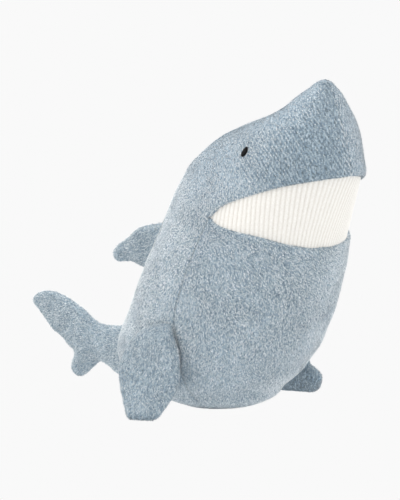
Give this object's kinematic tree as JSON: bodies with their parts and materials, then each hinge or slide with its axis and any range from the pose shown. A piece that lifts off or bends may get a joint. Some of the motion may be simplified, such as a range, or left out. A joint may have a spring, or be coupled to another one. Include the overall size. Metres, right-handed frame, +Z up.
{
  "type": "plush shark",
  "caption": "Upright plush shark leaning forward, snout raised over a wide ribbed mouth band, with hanging side fins, a back fin and a forked tail, sitting on a flat round base.",
  "frame": {"origin": "on the ground, in the flat underside the shark sits on", "axes": "+Z up; the nose points along -Y and the tail along +Y; the shark's own right side is -X"},
  "size_m": [0.229, 0.3877, 0.286],
  "materials": {
    "blue_grey_plush": "short soft pile",
    "cream_rib_knit": "ribbed knit",
    "white_fibre_filling": "loose fibre",
    "pouch_lining": "plain weave",
    "weighting_pellets": "small beads",
    "black_thread": "satin stitch"
  },
  "bodies": {
    "torso": {"side_panel_right": "blue_grey_plush", "side_panel_left": "blue_grey_plush", "belly_panel": "blue_grey_plush", "mouth_panel": "cream_rib_knit", "base_panel": "blue_grey_plush", "torso_filling": "white_fibre_filling", "pellet_pouch_bottom": "pouch_lining", "pellet_pouch_top": "pouch_lining", "pellet_fill": "weighting_pellets", "eye_right": "black_thread", "eye_left": "black_thread"},
    "back_fin": {"back_fin_panel_left": "blue_grey_plush", "back_fin_panel_right": "blue_grey_plush", "back_fin_filling": "white_fibre_filling"},
    "tail": {"tail_panel_left": "blue_grey_plush", "tail_panel_right": "blue_grey_plush", "tail_filling": "white_fibre_filling"},
    "right_fin": {"right_fin_outer_panel": "blue_grey_plush", "right_fin_inner_panel": "blue_grey_plush", "right_fin_filling": "white_fibre_filling"},
    "left_fin": {"left_fin_outer_panel": "blue_grey_plush", "left_fin_inner_panel": "blue_grey_plush", "left_fin_filling": "white_fibre_filling"}
  },
  "joints": [
    {"name": "right_fin_lift", "type": "hinge", "parent": "torso", "child": "right_fin", "pos_m": [-0.09331, -0.0235, 0.08194], "axis": [0, 1, 0], "range_deg": [0, 70], "stiffness_Nm_per_rad": 0.03},
    {"name": "left_fin_lift", "type": "hinge", "parent": "torso", "child": "left_fin", "pos_m": [0.09331, -0.0235, 0.08194], "axis": [0, -1, 0], "range_deg": [0, 70], "stiffness_Nm_per_rad": 0.03},
    {"name": "tail_swing", "type": "hinge", "parent": "torso", "child": "tail", "pos_m": [0, 0.1029, 0.039], "axis": [0, 0, 1], "range_deg": [-25, 25], "stiffness_Nm_per_rad": 0.06},
    {"name": "back_fin_flop", "type": "hinge", "parent": "torso", "child": "back_fin", "pos_m": [0, 0.05609, 0.136], "axis": [0, 0.4399, -0.898], "range_deg": [-25, 25], "stiffness_Nm_per_rad": 0.03}
  ]
}
